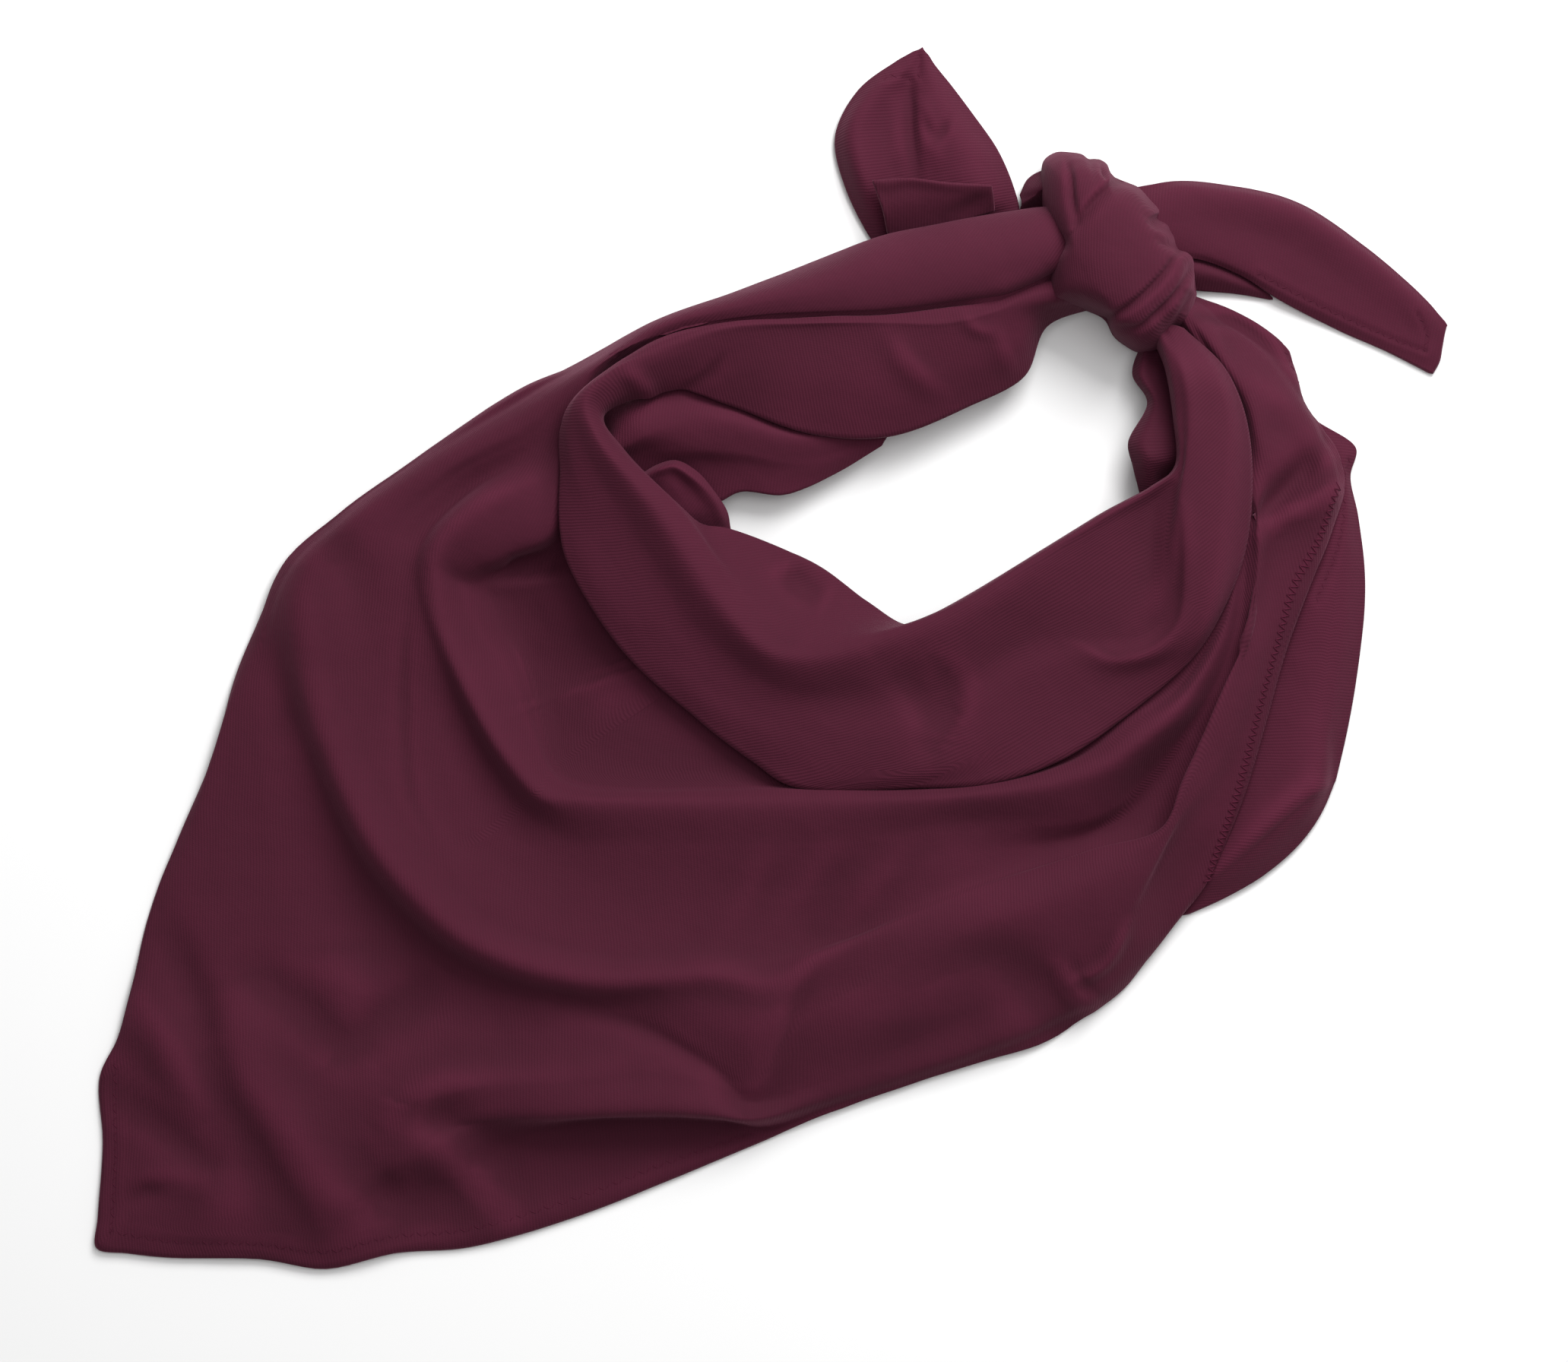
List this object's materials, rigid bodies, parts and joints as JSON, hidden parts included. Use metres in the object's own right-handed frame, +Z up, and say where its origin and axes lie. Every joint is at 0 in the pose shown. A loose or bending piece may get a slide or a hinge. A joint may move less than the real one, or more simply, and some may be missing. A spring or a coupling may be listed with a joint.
{
  "type": "bandana",
  "caption": "Square cotton bandana folded corner to corner, rolled, tied in a ring and laid flat, with soft draped folds and a flat bib.",
  "frame": {"origin": "centre of the bounding box's base, on the surface the cloth lies on", "axes": "+X to the right of the laid cloth, toward the right tail's tip; +Y away from the point of the bib, toward the left tail's tip; +Z up from the surface"},
  "size_m": [0.3725, 0.3366, 0.034],
  "materials": {
    "body_cloth": "matt cotton twill, dark plum",
    "neck_band_cloth": "matt cotton twill, dark plum",
    "knot_cloth": "matt cotton twill, dark plum",
    "left_tail_cloth": "matt cotton twill, dark plum",
    "left_tail_front_cloth": "matt cotton twill, dark plum",
    "left_tail_root_cloth": "matt cotton twill, dark plum",
    "right_tail_cloth": "matt cotton twill, dark plum",
    "right_tail_layer_cloth": "matt cotton twill, dark plum",
    "under_layer_cloth": "matt cotton twill, dark plum",
    "inner_roll_cloth": "matt cotton twill, dark plum",
    "inner_curl_cloth": "matt cotton twill, dark plum",
    "inner_flap_cloth": "matt cotton twill, dark plum"
  },
  "bodies": {
    "root": {"body": "body_cloth", "neck_band": "neck_band_cloth", "knot": "knot_cloth", "left_tail": "left_tail_cloth", "left_tail_front": "left_tail_front_cloth", "left_tail_root": "left_tail_root_cloth", "right_tail": "right_tail_cloth", "right_tail_layer": "right_tail_layer_cloth", "under_layer": "under_layer_cloth", "inner_roll": "inner_roll_cloth", "inner_curl": "inner_curl_cloth", "inner_flap": "inner_flap_cloth"}
  },
  "joints": []
}
